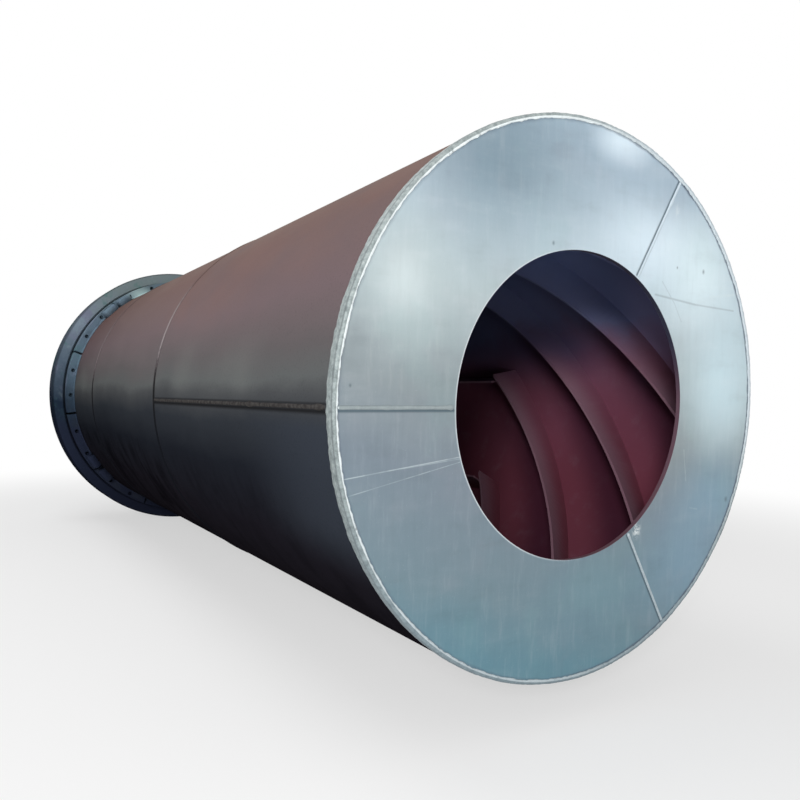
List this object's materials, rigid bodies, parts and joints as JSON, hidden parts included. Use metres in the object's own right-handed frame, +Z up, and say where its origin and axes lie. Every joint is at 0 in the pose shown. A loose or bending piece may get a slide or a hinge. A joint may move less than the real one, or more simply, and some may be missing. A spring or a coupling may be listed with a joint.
{
  "type": "rotary slag dryer drum",
  "caption": "Welded steel drum of a rotary slag dryer with an annular feed end plate, spiral feed flights, straight lifters and a riding ring on welded pads.",
  "frame": {"origin": "on the ground under the riding ring's lowest line, at the middle of the drum's length and width", "axes": "+Z up, +Y along the drum's axis from the feed end to the discharge end, +X to the right as seen from the feed end"},
  "size_m": [2.7904, 6.65, 2.79],
  "materials": {
    "silver_paint": "satin silver paint over plate",
    "shell_primer": "glossy dark red-brown primer",
    "ring_steel": "blue-grey paint on cast steel",
    "inner_primer": "dull red primer"
  },
  "bodies": {
    "root": {"feed_plate_upper": "silver_paint", "feed_plate_lower": "silver_paint", "feed_plate_right": "silver_paint", "feed_plate_welds": "silver_paint", "feed_rim_weld": "silver_paint", "shell_course_1": "shell_primer", "shell_course_2": "shell_primer", "shell_course_3": "shell_primer", "girth_weld_1": "shell_primer", "girth_weld_2": "shell_primer", "course_seam_1": "shell_primer", "course_seam_2": "shell_primer", "course_seam_3": "shell_primer", "riding_ring": "ring_steel", "ring_pads": "ring_steel", "pad_stops_feed_side": "ring_steel", "pad_stops_discharge_side": "ring_steel", "feed_flight_1": "inner_primer", "feed_flight_2": "inner_primer", "feed_flight_3": "inner_primer", "feed_flight_4": "inner_primer", "feed_flight_5": "inner_primer", "feed_flight_6": "inner_primer", "feed_flight_7": "inner_primer", "feed_flight_8": "inner_primer", "feed_flight_9": "inner_primer", "lifters_course_1": "inner_primer", "lifters_course_2": "inner_primer", "lifters_course_3": "inner_primer", "discharge_plate_upper": "silver_paint", "discharge_plate_lower": "silver_paint", "discharge_plate_right": "silver_paint", "discharge_plate_welds": "silver_paint", "discharge_rim_weld": "silver_paint"}
  },
  "joints": []
}
